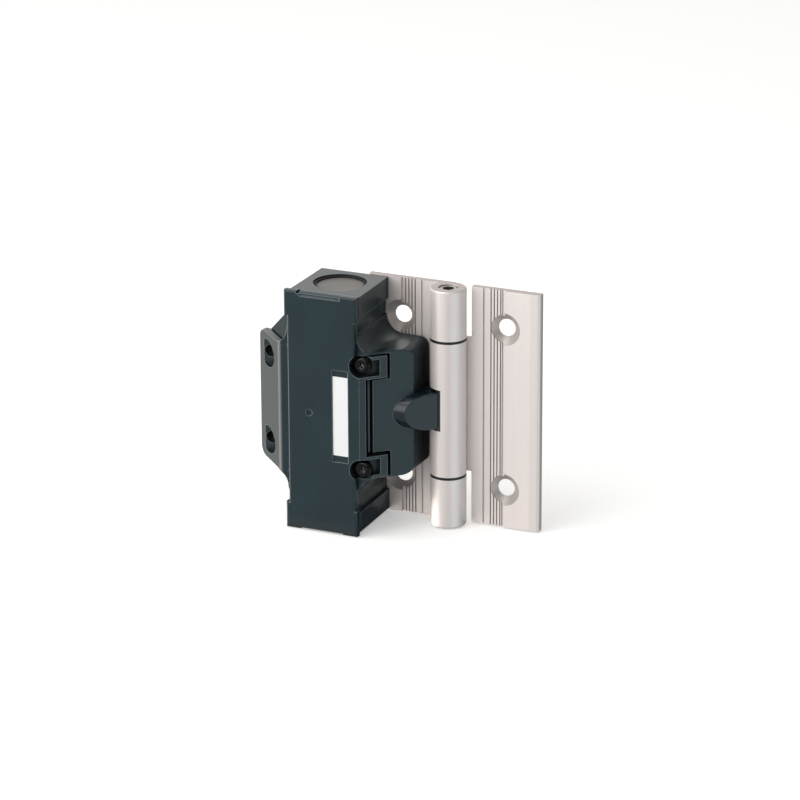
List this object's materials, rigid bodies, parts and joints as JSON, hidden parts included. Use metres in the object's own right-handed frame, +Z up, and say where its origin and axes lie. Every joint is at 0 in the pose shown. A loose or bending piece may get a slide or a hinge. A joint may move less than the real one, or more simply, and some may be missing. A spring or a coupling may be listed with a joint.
{
  "type": "hinge switch",
  "caption": "Black interlock switch housing fixed to a satin aluminium leaf hinge, whose moving leaf turns a cam that pushes a plunger.",
  "frame": {"origin": "middle of the fixed leaf's two mounting holes, on its back face", "axes": "+X from the switch housing to the moving leaf, +Y into the door frame, +Z up along the hinge axis"},
  "size_m": [0.1133, 0.0336, 0.0926],
  "materials": {
    "leaf_aluminium": "satin anodised",
    "plain_steel": "zinc plated",
    "black_steel": "black oxide",
    "cam_steel": "hardened, dark",
    "black_moulding": "fine moulded grain",
    "black_bush_plastic": "plain",
    "grey_plastic": "plain",
    "natural_plastic": "plain",
    "white_film": "smooth film",
    "seal_rubber": "matte",
    "contact_brass": "stamped"
  },
  "bodies": {
    "fixed": {"fixed_leaf": "leaf_aluminium", "upper_bush": "black_bush_plastic", "lower_bush": "black_bush_plastic", "upper_pin_screw": "plain_steel", "lower_pin_screw": "plain_steel", "housing": "black_moulding", "front_cover": "black_moulding", "cover_gasket": "seal_rubber", "cover_screws": "black_steel", "blank_label": "white_film", "entry_plug": "grey_plastic", "entry_ring": "seal_rubber", "plunger_guide": "black_moulding", "plunger_seal": "seal_rubber", "return_spring": "plain_steel", "contact_block": "natural_plastic", "block_screws": "plain_steel", "fixed_contacts": "contact_brass", "terminal_clamps": "plain_steel", "terminal_screws": "plain_steel", "leaf_screws": "plain_steel"},
    "leaf": {"moving_leaf": "leaf_aluminium", "hinge_pin": "plain_steel", "switching_cam": "cam_steel"},
    "plunger": {"plunger": "natural_plastic", "contact_bridges": "contact_brass"}
  },
  "joints": [
    {"name": "leaf_hinge", "type": "hinge", "parent": "fixed", "child": "leaf", "pos_m": [0.0207, -0.00675, 0], "axis": [0, 0, -1], "range_deg": [0, 135]},
    {"name": "plunger_slide", "type": "slide", "parent": "fixed", "child": "plunger", "axis": [-1, 0, 0], "range_m": [0, 0.0029], "deforming": ["return_spring"]}
  ],
  "couplings": [
    {"joint": "plunger_slide", "follows": "leaf_hinge", "m_per_rad": 0.0012319}
  ]
}
